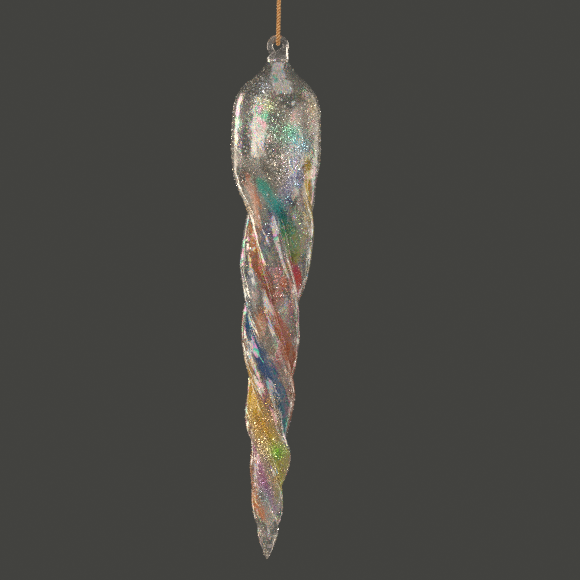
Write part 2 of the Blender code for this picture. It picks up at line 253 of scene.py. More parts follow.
def points_of(mesh):
    places = np.empty(len(mesh.vertices) * 3)
    mesh.vertices.foreach_get("co", places)
    return places.reshape(-1, 3)


def smooth_step(value, start, end):
    t = min(max((value - start) / (end - start), 0.0), 1.0)
    return t * t * (3 - 2 * t)


# ---- the drop's shape rule


def hermite(start, end, start_slope, end_slope, span, t):
    rise = t * t * (3 - 2 * t)
    bend = start_slope * (t**3 - 2 * t**2 + t) + end_slope * (t**3 - t**2)
    return start + (end - start) * rise + span * bend


def envelope_radius(height):
    """The drop's radius over its lobes."""
    if height <= TAPER_LENGTH:
        line = TAPER_FOOT_RADIUS + TAPER_SLOPE * height
        return line * (1 - exp(-height / TIP_LENGTH))
    slopes = [TAPER_SLOPE]
    for (low, low_radius), (high, high_radius) in zip(BULB_STATIONS, BULB_STATIONS[2:]):
        slopes.append((high_radius - low_radius) / (high - low))
    slopes.append(NECK_SLOPE)
    i = 0
    while i < len(BULB_STATIONS) - 2 and height > BULB_STATIONS[i + 1][0]:
        i += 1
    (low, low_radius), (high, high_radius) = BULB_STATIONS[i], BULB_STATIONS[i + 1]
    span = high - low
    return hermite(low_radius, high_radius, slopes[i], slopes[i + 1], span, (height - low) / span)


def twist_angle(height):
    """Left-handed twist at a constant slope."""
    stretch = (height - TWIST_PHASE_HEIGHT) / TWIST_STEPS
    total = 0.0
    for step in range(TWIST_STEPS):
        middle = TWIST_PHASE_HEIGHT + (step + 0.5) * stretch
        total -= TWIST_SLOPE * stretch / max(envelope_radius(middle), TIP_LENGTH / 4)
    return total


def axis_shift(height):
    if not AXIS_SWAYS[-1][0] < height < AXIS_SWAYS[0][0]:
        return 0.0
    for (high, high_shift), (low, low_shift) in zip(AXIS_SWAYS, AXIS_SWAYS[1:]):
        if height >= low:
            return low_shift + (high_shift - low_shift) * smooth_step(height, low, high)


def valley_cut(angle, height):
    """How deep the nearest valley is at a height, as a share of the radius."""
    valley = round(angle * LOBES / tau) % LOBES
    at_top, at_tip = VALLEY_WEIGHTS[valley]
    weight = at_tip + (at_top - at_tip) * min(height / FLUTES_FULL, 1.0)
    fade = smooth_step(height, FLUTES_START, FLUTES_FULL) * smooth_step(height, 0.0, 1.5 * TIP_LENGTH)
    return VALLEY_DEPTH * fade * weight


LATTICE_RADIUS = 10 * MM  # of any size: the tree moves the lattice onto the wall
RULE_STEP = 0.5 * MM
RULE_HEIGHTS = np.arange(0.0, DROP_LENGTH + RULE_STEP, RULE_STEP)
RULE_RADII = np.array([envelope_radius(min(h, DROP_LENGTH)) for h in RULE_HEIGHTS])
RULE_TWISTS = np.array([twist_angle(h) for h in RULE_HEIGHTS])
RULE_SHIFTS = np.array([axis_shift(h) for h in RULE_HEIGHTS])


def wall_base(name, rows, low_pole, high_pole, extras=()):
    """A closed lattice for the wall rule, in rows of (height, angle, inset, *extras) for each point."""
    points = [point for row in rows for point in row] + [low_pole, high_pole]
    count = len(rows[0])
    faces = []
    for r in range(len(rows) - 1):
        for i in range(count):
            j = (i + 1) % count
            faces.append((r * count + i, r * count + j, (r + 1) * count + j, (r + 1) * count + i))
    low, high = len(points) - 2, len(points) - 1
    last = (len(rows) - 1) * count
    for i in range(count):
        j = (i + 1) % count
        faces.append((j, i, low))
        faces.append((last + i, last + j, high))
    values = np.array(points, dtype=np.float64)
    heights, angles = values[:, 0], values[:, 1]
    mesh = bpy.data.meshes.new(name)
    places = np.stack([np.cos(angles) * LATTICE_RADIUS, np.sin(angles) * LATTICE_RADIUS, heights], axis=1)
    mesh.from_pydata(places.tolist(), [], faces)
    radii = np.interp(heights, RULE_HEIGHTS, RULE_RADII)
    radii[low] = radii[low] if low_pole[2] else 0.0
    cuts = [valley_cut(a, h) for h, a in zip(heights, angles)]
    columns = {
        "height": heights,
        "turn": angles,
        "inset": values[:, 2],
        "line_radius": radii,
        "cut": cuts,
        "twist": np.interp(heights, RULE_HEIGHTS, RULE_TWISTS),
        "shift": np.interp(heights, RULE_HEIGHTS, RULE_SHIFTS),
    }
    for i, extra in enumerate(extras):
        columns[extra] = values[:, 3 + i]
    for label, column in columns.items():
        made = mesh.attributes.new(label, "FLOAT", "POINT")
        made.data.foreach_set("value", np.asarray(column, dtype=np.float32))
    return add_object(name, mesh)


DRAW_LINE_WAVES = 28.0  # along the drop, to the metre
RIPPLES_FULL_FROM = 8.0 * MM  # a thinner drop has lower ripples
FLUTED_FROM = 0.25  # draw lines reach full height where a valley is this deep
NOISE_MIDDLE = 0.5


def wall_tree():
    """Moves a lattice onto the twisted wall: lobes, valleys, sway, and the ripples of hand-drawn glass."""
    tree, given, ends = start_tree(
        "twisted wall", "Lobes", "Valley Rounding", "Tip Height", "Ripple Height", "Ripple Scale",
        "Ripple Seed", "Draw Line Height", "Draw Lines Round", "Surface",
    )
    turn, height = attribute_in(tree, "turn"), attribute_in(tree, "height")
    line_radius, cut = attribute_in(tree, "line_radius"), attribute_in(tree, "cut")
    squared = maths(tree, "POWER", maths(tree, "SINE", product(tree, given["Lobes"], turn, 0.5)), 2.0)
    rounding = maths(tree, "POWER", given["Valley Rounding"], 2.0)
    wave = maths(tree, "SQRT", maths(tree, "ADD", squared, rounding))
    peak = maths(tree, "SQRT", maths(tree, "ADD", 1.0, rounding))
    dip = maths(tree, "SUBTRACT", 1.0, maths(tree, "DIVIDE", wave, peak))
    share = maths(tree, "SUBTRACT", 1.0, product(tree, cut, dip))
    turned = maths(tree, "ADD", turn, attribute_in(tree, "twist"))
    cosine, sine = maths(tree, "COSINE", turned), maths(tree, "SINE", turned)
    middle = point_of(tree, product(tree, cosine, line_radius), product(tree, sine, line_radius), height)
    ripple = noise_at(tree, middle, given["Ripple Scale"], 2.0, given["Ripple Seed"])
    drawn = point_of(
        tree,
        product(tree, maths(tree, "COSINE", turn), given["Draw Lines Round"]),
        product(tree, maths(tree, "SINE", turn), given["Draw Lines Round"]),
        product(tree, height, DRAW_LINE_WAVES),
    )
    line = node(tree, "ShaderNodeTexNoise", {"Vector": drawn, "Scale": 1.0, "Detail": 1.5}).outputs[0]
    line = product(tree, maths(tree, "SUBTRACT", line, NOISE_MIDDLE), given["Draw Line Height"])
    fluted = maths(tree, "MINIMUM", product(tree, cut, 1 / FLUTED_FROM), 1.0)
    thin = maths(tree, "MINIMUM", maths(tree, "DIVIDE", line_radius, RIPPLES_FULL_FROM), 1.0)
    lift = product(tree, maths(tree, "SUBTRACT", ripple, NOISE_MIDDLE), given["Ripple Height"])
    lift = product(tree, maths(tree, "MULTIPLY_ADD", line, fluted, lift), thin)
    radius = maths(tree, "SUBTRACT", product(tree, line_radius, share), attribute_in(tree, "inset"))
    radius = maths(tree, "MAXIMUM", maths(tree, "ADD", radius, lift), 0.0)
    place = point_of(
        tree,
        maths(tree, "MULTIPLY_ADD", cosine, radius, attribute_in(tree, "shift")),
        product(tree, sine, radius),
        maths(tree, "ADD", height, given["Tip Height"]),
    )
    moved = node(tree, "GeometryNodeSetPosition", {"Geometry": given["Geometry"], "Position": place})
    finish_tree(tree, shaded_smooth(tree, moved.outputs[0]), given["Surface"], ends)
    return tree


WALL_TREE = wall_tree()


def wall_piece(name, base, surface):
    """A lattice laid on the wall, as a plain mesh."""
    sizes = {
        "Lobes": float(LOBES),
        "Valley Rounding": VALLEY_ROUNDING,
        "Tip Height": TIP_Z,
        "Ripple Height": 0.5 * MM,
        "Ripple Scale": 95.0,
        "Ripple Seed": 3.0,
        "Draw Line Height": 1.5 * MM,
        "Draw Lines Round": 3.4,
        "Surface": surface,
    }
    return grown(base, WALL_TREE, sizes, name)


# ---- finishes

NOISE_LOW, NOISE_HIGH = 0.3, 0.7  # noise stays mostly between these
GLASS_IOR = 1.5


def start_surface(name):
    """A new material with its tree, a Principled shader and its output."""
    surface = bpy.data.materials.new(name)
    surface.use_nodes = True
    tree = surface.node_tree
    tree.nodes.clear()
    shader = node(tree, "ShaderNodeBsdfPrincipled")
    output = node(tree, "ShaderNodeOutputMaterial", {"Surface": shader.outputs[0]})
    return surface, tree, shader, output


def set_shader(tree, shader, **values):
    """Sets the shader's sockets: a constant straight on its socket, a pattern by a link."""
    for key, value in values.items():
        socket = shader.inputs[key.replace("_", " ")]
        if isinstance(value, bpy.types.NodeSocket):
            tree.links.new(value, socket)
        else:
            socket.default_value = value


def let_lamps_through(tree, shader, output, tint):
    """Lamps reach what is inside the glass."""
    path = node(tree, "ShaderNodeLightPath")
    open_side = node(tree, "ShaderNodeBsdfTransparent", {"Color": tint})
    mix = node(
        tree,
        "ShaderNodeMixShader",
        {0: path.outputs["Is Shadow Ray"], 1: shader.outputs[0], 2: open_side.outputs[0]},
    )
    tree.links.new(mix.outputs[0], output.inputs["Surface"])


def object_point(tree, scale=(1, 1, 1)):
    place = node(tree, "ShaderNodeTexCoord").outputs["Object"]
    return node(tree, "ShaderNodeMapping", {"Vector": place, "Scale": scale}).outputs[0]


def kept_on_mesh(tree, name, output="Fac"):
    """A value kept on the mesh, read in a material."""
    return node(tree, "ShaderNodeAttribute", attribute_name=name).outputs[output]


def ramp(tree, factor, stops):
    """Colours run together between stops, each a position and a colour."""
    made = node(tree, "ShaderNodeValToRGB", {0: factor})
    elements = made.color_ramp.elements
    while len(elements) < len(stops):
        elements.new(0.5)
    for element, (position, colour) in zip(elements, stops):
        element.position = position
        element.color = (*colour, 1.0)
    return made.outputs[0]


def scaled(tree, value, low, high, new_low, new_high):
    """A value moved from one range to another, and kept inside it."""
    return node(
        tree, "ShaderNodeMapRange", {0: value, 1: low, 2: high, 3: new_low, 4: new_high}
    ).outputs[0]


def from_noise(tree, noise, low, high):
    """Noise stretched to run from low to high."""
    return scaled(tree, noise, NOISE_LOW, NOISE_HIGH, low, high)


def mixed(tree, share, colour, other):
    """A colour with a share of another, constant one."""
    inputs = {0: share, 6: colour, 7: (*other, 1.0)}
    return node(tree, "ShaderNodeMix", inputs, data_type="RGBA").outputs[2]


def bump_of(tree, height, strength, depth, **under):
    """A bump by a pattern, on top of another bump where one is given as Normal."""
    inputs = {"Height": height, "Strength": strength, "Distance": depth, **under}
    return node(tree, "ShaderNodeBump", inputs).outputs[0]


BLACK, WHITE = (0, 0, 0), (1, 1, 1)
HAZE = 0.13  # what the cloudiest glass doesn't let through
CLEAREST = 0.99
SPECKLE_HAZE = 0.07
HAZE_THINS = (RIM_Z - 20.0 * MM, RIM_Z - 8.0 * MM)  # towards the neck
HAZE_AT_NECK = 0.25
BAND_RADIUS = 14.0 * MM
WASH_SLANT = 0.45
WASH_STRETCH = 0.3
WASH_SEED = 1.7
WASH_TONES = (
    (0.30, (0.97, 0.90, 0.84)),
    (0.42, (0.97, 0.95, 0.91)),
    (0.52, (0.92, 0.93, 0.93)),
    (0.60, (0.96, 0.90, 0.92)),
    (0.70, (0.98, 0.94, 0.86)),
)
FILM_THICKNESS = (230.0, 560.0)  # nanometres
FILM_IOR = 2.5


def clear_glass(name):
    """Clear blown glass under a thin iridescent wash, wiped on in bands that slant with the twist."""
    surface, tree, shader, output = start_surface(name)
    place = object_point(tree)
    apart = node(tree, "ShaderNodeSeparateXYZ", {"Vector": place}).outputs
    bearing = maths(tree, "ARCTAN2", apart["X"], product(tree, apart["Y"], -1.0))
    round_way = maths(tree, "MULTIPLY_ADD", bearing, BAND_RADIUS, product(tree, apart["Z"], WASH_SLANT))
    band = point_of(tree, round_way, product(tree, apart["Z"], WASH_STRETCH))
    wash = noise_at(tree, band, scale=110.0, seed=WASH_SEED, rough=0.6)
    grain = noise_at(tree, place, scale=1100.0, detail=2.0, seed=4.1)
    speckle = ramp(tree, grain, ((0.54, BLACK), (0.68, WHITE)))
    cloud = noise_at(tree, place, scale=95.0, detail=2.5, seed=9.0)
    cloud = scaled(tree, cloud, 0.38, 0.64, 0.0, 1.0)
    cloud = product(tree, cloud, scaled(tree, apart["Z"], *HAZE_THINS, 1.0, HAZE_AT_NECK))
    clear_part = scaled(tree, cloud, 0.0, 1.0, CLEAREST, 1.0 - HAZE)
    clear_part = maths(tree, "SUBTRACT", clear_part, product(tree, speckle, SPECKLE_HAZE))
    swell = noise_at(tree, place, scale=120.0, detail=2.5, seed=2.2)
    swell_bump = bump_of(tree, swell, 0.7, 1.2 * MM)
    film = from_noise(tree, noise_at(tree, place, scale=70.0, detail=2.0, seed=6.0), *FILM_THICKNESS)
    coated = scaled(tree, wash, 0.46, 0.56, 0.0, 1.0)
    set_shader(
        tree,
        shader,
        Base_Color=ramp(tree, wash, WASH_TONES),
        Transmission_Weight=clear_part,
        Roughness=scaled(tree, speckle, 0.0, 1.0, 0.02, 0.16),
        Normal=bump_of(tree, speckle, 0.2, 0.05 * MM, Normal=swell_bump),
        Thin_Film_Thickness=product(tree, film, coated),
        IOR=GLASS_IOR,
        Thin_Film_IOR=FILM_IOR,
    )
    let_lamps_through(tree, shader, output, (0.98, 0.98, 0.97, 1.0))
    return surface


LANES = (1.6, 90.0)  # drawn lines across a streak, and waves along it to the metre
RAGGED = 0.4  # how far its edge wanders, as a share of its half width
FEATHERED = (0.25, 1.0)  # it fades out between these shares of its half width
END_FADE = 16.0  # higher is more sudden
PALE_GRAIN = (1.0, 0.95, 0.86)


def streak_glass(name, colours, strength):
    """Coloured glass drawn out in the wall: streaky, dense in the middle, feathered at both sides."""
    surface, tree, shader, _ = start_surface(name)
    across, along = kept_on_mesh(tree, "across"), kept_on_mesh(tree, "along")
    height = kept_on_mesh(tree, "height")
    lane = point_of(tree, product(tree, across, LANES[0]), product(tree, height, LANES[1]))
    drawn = noise_at(tree, lane, scale=1.9, detail=4.0, seed=5.0 + strength, rough=0.62)
    place = object_point(tree)
    patch = noise_at(tree, place, scale=240.0, seed=7.0)
    grain = noise_at(tree, place, scale=1500.0, detail=1.0, seed=3.0)
    low, middle, high = colours
    wander = maths(tree, "ADD", along, from_noise(tree, drawn, -0.16, 0.16))
    colour = ramp(tree, wander, ((0.05, low), (0.5, middle), (0.95, high)))
    pale = [min(1.0, 0.30 + 0.75 * c) for c in middle]
    colour = mixed(tree, scaled(tree, drawn, 0.55, 0.75, 0.0, 0.35), colour, pale)
    colour = mixed(tree, scaled(tree, grain, 0.60, 0.72, 0.0, 0.5), colour, PALE_GRAIN)
    wandering = from_noise(tree, drawn, -RAGGED, RAGGED)
    ragged = maths(tree, "ADD", maths(tree, "ABSOLUTE", across), wandering)
    cover = scaled(tree, ragged, *FEATHERED, 1.0, 0.0)
    ends = product(tree, along, maths(tree, "SUBTRACT", 1.0, along), END_FADE)
    thick = scaled(tree, patch, 0.35, 0.65, 0.6, 1.1)
    cover = product(tree, cover, maths(tree, "MINIMUM", ends, 1.0), thick, strength)
    set_shader(
        tree,
        shader,
        Base_Color=colour,
        Alpha=node(tree, "ShaderNodeClamp", {"Value": cover}).outputs[0],
        Roughness=from_noise(tree, drawn, 0.18, 0.4),
        Normal=bump_of(tree, grain, 0.5, 0.1 * MM),
        Metallic=0.0,
        IOR=GLASS_IOR,
    )
    return surface


def flake_finish(name):
    """Iridescent glitter: each flake mirrors in its own tint."""
    surface, tree, shader, _ = start_surface(name)
    facing = node(tree, "ShaderNodeLayerWeight", {"Blend": 0.4}).outputs["Facing"]
    hue = scaled(tree, facing, 0.0, 1.0, 0.45, 0.58)
    tint = kept_on_mesh(tree, "flake_tint", "Color")
    turned = node(tree, "ShaderNodeHueSaturation", {"Hue": hue, "Color": tint}).outputs[0]
    mottle = noise_at(tree, object_point(tree), scale=900.0, detail=1.0, seed=6.0)
    rough = from_noise(tree, mottle, 0.12, 0.32)
    set_shader(tree, shader, Base_Color=turned, Roughness=rough, Metallic=0.85)
    return surface


PLIES = 3
FILAMENTS = (9000.0, 75.0)  # slanting waves along the cord, to the metre, and round it
YARN_SHADED_TONES = (  # from painted shade in the grooves to painted highlight on the crests
    (0.05, (0.26, 0.075, 0.012)),
    (0.35, (0.80, 0.30, 0.07)),
    (0.62, (1.0, 0.55, 0.20)),
    (0.95, (1.0, 0.86, 0.56)),
)


def gold_cord():
    """Metallic gold yarn: plies with painted shade in their grooves and painted highlights on their
    crests, and fine slanting filaments.
    """
    surface, tree, shader, _ = start_surface("gold_twisted_cord")
    around, run = kept_on_mesh(tree, "around"), kept_on_mesh(tree, "run")
    groove = maths(tree, "COSINE", product(tree, around, PLIES * tau))
    slant = maths(tree, "ADD", product(tree, run, FILAMENTS[0]), product(tree, around, FILAMENTS[1]))
    slant = maths(tree, "SINE", slant)
    fuzz = noise_at(tree, object_point(tree), scale=3800.0, detail=2.0, seed=2.0)
    # painted shade and highlight: darker in the ply grooves, lighter on the crests; filaments and fuzz
    # vary it further
    light = maths(tree, "MULTIPLY_ADD", groove, 0.32, 0.5)
    light = maths(tree, "MULTIPLY_ADD", slant, 0.12, light)
    light = maths(tree, "ADD", light, scaled(tree, fuzz, 0.2, 0.8, -0.2, 0.2))
    set_shader(
        tree,
        shader,
        Base_Color=ramp(tree, light, YARN_SHADED_TONES),
        Roughness=from_noise(tree, fuzz, 0.42, 0.68),
        Normal=bump_of(tree, slant, 0.4, 0.06 * MM),
        Metallic=0.35,
    )
    return surface


EYE_TONES = ((0.3, (0.93, 0.86, 0.86)), (0.5, (0.95, 0.94, 0.95)), (0.7, (0.96, 0.90, 0.84)))
FLOW_STRETCH = (1, 1, 0.45)


def eye_glass():
    """Clear worked glass with a faint rose tint and flow lines."""
    surface, tree, shader, output = start_surface("worked_eye_glass")
    cloud = noise_at(tree, object_point(tree), scale=300.0, seed=8.0)
    flow = noise_at(tree, object_point(tree, FLOW_STRETCH), scale=620.0, detail=2.0, seed=1.0)
    set_shader(
        tree,
        shader,
        Base_Color=ramp(tree, cloud, EYE_TONES),
        Normal=bump_of(tree, flow, 0.5, 0.25 * MM),
        Roughness=from_noise(tree, cloud, 0.02, 0.12),
        Transmission_Weight=from_noise(tree, cloud, 0.98, 0.82),
        IOR=GLASS_IOR,
    )
    let_lamps_through(tree, shader, output, (0.95, 0.93, 0.93, 1.0))
    return surface


# ---- gold cord loop, first of the pieces

STRAND_TOP_Y = CORD_RADIUS + FIT_GAP / 2
STRAND_TOP_Z = KNOT_FOOT - FIT_GAP
BIGHT_Z = -LOOP_LENGTH - CORD_RADIUS + BIGHT_RADIUS
KNOT_TOP_Z = KNOT_FOOT + KNOT_HEIGHT
STRAND_BOW = (  # share of the way down to the bight's centre, and share of the way out to its radius
    (0.0, 0.0),
    (0.05, 0.12),
    (0.13, 0.33),
    (0.25, 0.51),
    (0.41, 0.67),
    (0.59, 0.82),
    (0.75, 0.92),
    (0.9, 0.985),
)
BIGHT_ANGLES = (0, 18, 36, 54, 72, 90)  # degrees under the bight's centre
TAIL_POINTS = (  # sideways, forwards, and over the knot's top
    (0.15 * MM, 1.2 * MM, 1.0 * MM),
    (0.3 * MM, 1.9 * MM, 2.05 * MM),
    (0.45 * MM, 3.0 * MM, 2.8 * MM),
    (0.6 * MM, 4.25 * MM, 3.1 * MM),
    (0.75 * MM, 5.5 * MM, 2.9 * MM),
    (0.9 * MM, 6.6 * MM, 2.25 * MM),
)
PLY_PITCH = 3.6 * MM
CORD_SIDES = 30
DRAWN_SHARE = 0.97  # the drawn cord clears the eye's stem when the glass swings
ROUTE_STEP = 0.5 * MM
KNOT_STRAND_RADIUS = 0.9 * CORD_RADIUS
KNOT_CURVE_REACH = 2.6
KNOT_POINTS = 180


def smooth_route(points):
    """A smooth line through points that stand at uneven distances."""
    padded = [2 * points[0] - points[1]] + points + [2 * points[-1] - points[-2]]
    route = []
    for i in range(1, len(padded) - 2):
        a, b, c, d = padded[i - 1 : i + 3]
        at_b = (b - a).length
        at_c = at_b + (c - b).length
        at_d = at_c + (d - c).length
        steps = max(2, round((at_c - at_b) / ROUTE_STEP))
        for step in range(steps):
            t = at_b + (at_c - at_b) * step / steps
            ab = a.lerp(b, t / at_b)
            bc = b.lerp(c, (t - at_b) / (at_c - at_b))
            cd = c.lerp(d, (t - at_c) / (at_d - at_c))
            abc = ab.lerp(bc, t / at_c)
            bcd = bc.lerp(cd, (t - at_b) / (at_d - at_b))
            route.append(abc.lerp(bcd, (t - at_b) / (at_c - at_b)))
    route.append(points[-1])
    return route


def cord_route():
    """The cord's middle line: front tail, through the knot, down, round in the eye, and up behind."""
    half = [Vector((x, -y, KNOT_TOP_Z + rise)) for x, y, rise in reversed(TAIL_POINTS)]
    half.append(Vector((0, -STRAND_TOP_Y, KNOT_TOP_Z + FIT_GAP)))
    for down, out in STRAND_BOW:
        y = STRAND_TOP_Y + (BIGHT_RADIUS - STRAND_TOP_Y) * out
        half.append(Vector((0, -y, STRAND_TOP_Z + (BIGHT_Z - STRAND_TOP_Z) * down)))
    for degrees in BIGHT_ANGLES:
        angle = radians(degrees)
        half.append(Vector((0, -BIGHT_RADIUS * cos(angle), BIGHT_Z - BIGHT_RADIUS * sin(angle))))
    rear = [Vector((p.x, -p.y, p.z)) for p in reversed(half[:-1])]
    tail = len(TAIL_POINTS)
    rear[-tail:] = [Vector((-p.x, p.y, p.z)) for p in rear[-tail:]]
    return smooth_route(half + rear)


def route_object(name, route, closed=False):
    data = bpy.data.curves.new(name, "CURVE")
    data.dimensions = "3D"
    spline = data.splines.new("POLY")
    spline.points.add(len(route) - 1)
    for point, place in zip(spline.points, route):
        point.co = (*place, 1.0)
    spline.use_cyclic_u = closed
    return add_object(name, data)


def plied_cord_tree():
    """Plies twisted together along a route."""
    tree, given, ends = start_tree(
        "plied cord", "Radius", "Ply Pitch", "Plies", "Groove Depth", "Step", "Surface"
    )
    route = {"Curve": given["Geometry"], "Length": given["Step"]}
    even = node(tree, "GeometryNodeResampleCurve", route, mode="LENGTH").outputs[0]
    run = node(tree, "GeometryNodeSplineParameter").outputs["Length"]
    tilt = maths(tree, "DIVIDE", product(tree, run, tau), given["Ply Pitch"])
    turned = node(tree, "GeometryNodeSetCurveTilt", {"Curve": even, "Tilt": tilt}).outputs[0]
    ring = {"Resolution": CORD_SIDES, "Radius": 1.0}
    ring = node(tree, "GeometryNodeCurvePrimitiveCircle", ring).outputs[0]
    share = node(tree, "GeometryNodeSplineParameter").outputs["Factor"]
    angle = product(tree, share, tau)
    half_plies = product(tree, given["Plies"], 0.5)
    lobe = maths(tree, "ABSOLUTE", maths(tree, "COSINE", product(tree, angle, half_plies)))
    groove = product(tree, given["Groove Depth"], maths(tree, "SUBTRACT", 1.0, lobe))
    out = product(tree, given["Radius"], maths(tree, "SUBTRACT", 1.0, groove))
    place = point_of(
        tree,
        product(tree, out, maths(tree, "COSINE", angle)),
        product(tree, out, maths(tree, "SINE", angle)),
    )
    profile = node(tree, "GeometryNodeSetPosition", {"Geometry": ring, "Position": place}).outputs[0]
    tube = node(
        tree,
        "GeometryNodeCurveToMesh",
        {
            "Curve": keep_on(tree, turned, "run", run),
            "Profile Curve": keep_on(tree, profile, "around", share),
            "Fill Caps": True,
        },
    ).outputs[0]
    finish_tree(tree, shaded_smooth(tree, tube), given["Surface"], ends)
    return tree


CORD_TREE = plied_cord_tree()
GOLD = gold_cord()


def plied_cord(name, route, radius, step, closed=False):
    """A plied cord along a route, as a closed mesh."""
    sizes = {
        "Radius": radius,
        "Ply Pitch": PLY_PITCH,
        "Plies": float(PLIES),
        "Groove Depth": 0.26,
        "Step": step,
        "Surface": GOLD,
    }
    cord = grown(route_object(name + "_route", route, closed), CORD_TREE, sizes, name)
    face_outwards(cord)
    return cord


def knot_route():
    """The overhand knot that ties both ends: the doubled cord drawn up tight."""
    spread = (KNOT_RADIUS - KNOT_STRAND_RADIUS) / KNOT_CURVE_REACH
    rise = KNOT_HEIGHT / 2 - KNOT_STRAND_RADIUS
    route = []
    for i in range(KNOT_POINTS):
        t = tau * i / KNOT_POINTS
        x = sin(t) + 2 * sin(2 * t)
        y = cos(t) - 2 * cos(2 * t)
        z = -sin(3 * t) * rise * 0.7 + cos(t) * rise * 0.3
        route.append(Vector((x * spread, y * spread, KNOT_FOOT + KNOT_HEIGHT / 2 + z)))
    return route


loop_route = cord_route()
gold_loop = plied_cord("gold_cord", loop_route, DRAWN_SHARE * CORD_RADIUS, 0.3 * MM)
loop_knot = plied_cord("cord_loop_knot", knot_route(), KNOT_STRAND_RADIUS, 0.35 * MM, closed=True)


# ---- the glass drop

WALL_SIDES = 176
OUTER_STEP = 0.62 * MM
INNER_STEP = 1.4 * MM
FINE_TIP = (0.12 * MM, 6.0 * MM, 0.3 * MM)  # from, to and step of the finer rows at the tip
OUTER_FOOT = 6.5 * MM
NEEDLE_TOP = 24.0 * MM  # the cavity narrows to a needle below this height
RIM_RISE = 0.27 * MM  # the fused rim stands up to the eye's foot
RIM_INSET = 1.0 * MM
CLOSED_INSET = 20.0 * MM  # more than any radius, so the cavity closes


def heights_between(bottom, top, step):
    count = max(1, round((top - bottom) / step))
    return [bottom + (top - bottom) * i / count for i in range(count + 1)]


def make_icicle_wall(surface):
    """The hollow drop: up the outside from the tip, over the rim and down the inside."""
    angles = [tau * i / WALL_SIDES for i in range(WALL_SIDES)]
    outer = heights_between(*FINE_TIP) + heights_between(OUTER_FOOT, DROP_LENGTH, OUTER_STEP)
    rows = [[(h, a, 0.0) for a in angles] for h in outer]
    for inset in (0.0, RIM_INSET):
        rows.append([(DROP_LENGTH + RIM_RISE, a, inset) for a in angles])
    foot = CAVITY_FLOOR - INNER_STEP
    for height in reversed(heights_between(CAVITY_FLOOR, DROP_LENGTH, INNER_STEP)):
        radius = float(np.interp(height, RULE_HEIGHTS, RULE_RADII))
        inset = WALL + (radius - WALL) * (1 - smooth_step(height, foot, NEEDLE_TOP))
        rows.append([(height, a, inset) for a in angles])
    base = wall_base("icicle_lattice", rows, (0.0, 0.0, 0.0), (foot, 0.0, CLOSED_INSET))
    return wall_piece("glass_icicle", base, surface)


icicle = make_icicle_wall(clear_glass("clear_blown_glass"))


# ---- coloured streaks drawn in the wall

STREAK_INSET = 0.55 * MM
STREAK_THICKNESS = 0.22 * MM
STREAK_POINTS = 36
STREAK_STEP = 0.8 * MM
STREAK_POLE = 0.2 * MM  # its closing points stand this far past its ends
STREAK_END_SHARE = 0.12  # its least width
STREAK_HALF_ANGLE = 0.9  # its greatest half width, round the drop
# cane, valley, offset, lower and upper end, width, colours from the lower end to the upper, strength
STREAKS = (
    ("salmon", 0, 0, 98, 152, 12, (0.4, 0.07, 0.03), (1, 0.42, 0.08), (0.85, 0.26, 0.14), 0.95),
    ("amber", 0, 0, 14, 99, 17, (0.95, 0.38, 0.08), (0.55, 0.15, 0.04), (0.68, 0.2, 0.06), 1.25),
    ("teal", 1, 0, 130, 149, 11, (0, 0.2, 0.26), (0, 0.56, 0.58), (0.12, 0.62, 0.5), 1.1),
    ("green", 1, 0.1, 115, 138, 11, (0.48, 0.48, 0.06), (0.06, 0.45, 0.14), (0, 0.18, 0.3), 0.9),
    ("red", 1, 0, 92, 120, 9.5, (0.62, 0.05, 0.2), (0.95, 0.1, 0.04), (0.7, 0.08, 0.34), 0.95),
    ("violet", 1, 0, 16, 95, 9, (0.62, 0.42, 0.8), (0.8, 0.2, 0.45), (0.9, 0.42, 0.48), 0.75),
    ("yellow", 2, 0, 110, 158, 10, (0.42, 0.52, 0.05), (0.95, 0.72, 0.03), (0.95, 0.68, 0.02), 1.2),
    ("orange", 2, 0, 78, 113, 10.5, (0.7, 0.24, 0.05), (0.98, 0.36, 0.03), (0.9, 0.14, 0.05), 0.95),
    ("gold", 2, 0, 20, 84, 13.5, (0.62, 0.72, 0.03), (1, 0.74, 0.01), (1, 0.56, 0.01), 1.5),
    ("navy", 3, 0, 104, 154, 12, (0.02, 0.12, 0.4), (0.02, 0.07, 0.55), (0.07, 0.1, 0.62), 1.3),
    ("blue", 3, 0, 40, 110, 10.5, (0, 0.26, 0.34), (0.01, 0.11, 0.42), (0, 0.24, 0.4), 1.2),
)


def make_streak(name, valley, offset, start, end, width, surface):
    """A thin lens of coloured glass in the wall along one valley, narrowing to both ends."""
    start, end, width = start * MM, end * MM, width * MM
    middle = tau * valley / LOBES + offset
    rows = []
    for height in heights_between(start, end, STREAK_STEP):
        along = (height - start) / (end - start)
        swell = max(sin(pi * along) ** 0.5, STREAK_END_SHARE)
        radius = float(np.interp(height, RULE_HEIGHTS, RULE_RADII))
        half = min(0.5 * width * swell / radius, STREAK_HALF_ANGLE)
        row = []
        for i in range(STREAK_POINTS):
            phase = tau * i / STREAK_POINTS
            across = cos(phase)
            inset = STREAK_INSET - 0.5 * STREAK_THICKNESS * sin(phase)
            row.append((height, middle + half * across, inset, across, along))
        rows.append(row)
    low = (start - STREAK_POLE, middle, STREAK_INSET, 0.0, 0.0)
    high = (end + STREAK_POLE, middle, STREAK_INSET, 0.0, 1.0)
    base = wall_base(name + "_lattice", rows, low, high, ("across", "along"))
    piece = wall_piece(name, base, surface)
    face_outwards(piece)
    return piece


streaks = []
for colour_name, valley, offset, start, end, width, *colours, strength in STREAKS:
    finish = streak_glass(colour_name + "_streak_glass", colours, strength)
    piece = make_streak(colour_name + "_streak", valley, offset, start, end, width, finish)
    streaks.append((piece, colour_name))


# ---- glitter

CLUMP_SCALE = 160.0
SWING_SHARES = (1.0, 1.0, 3.0)  # a flake tips both ways, and turns freely on its face
SIZE_SEED = 11
SWING_SEED = 12


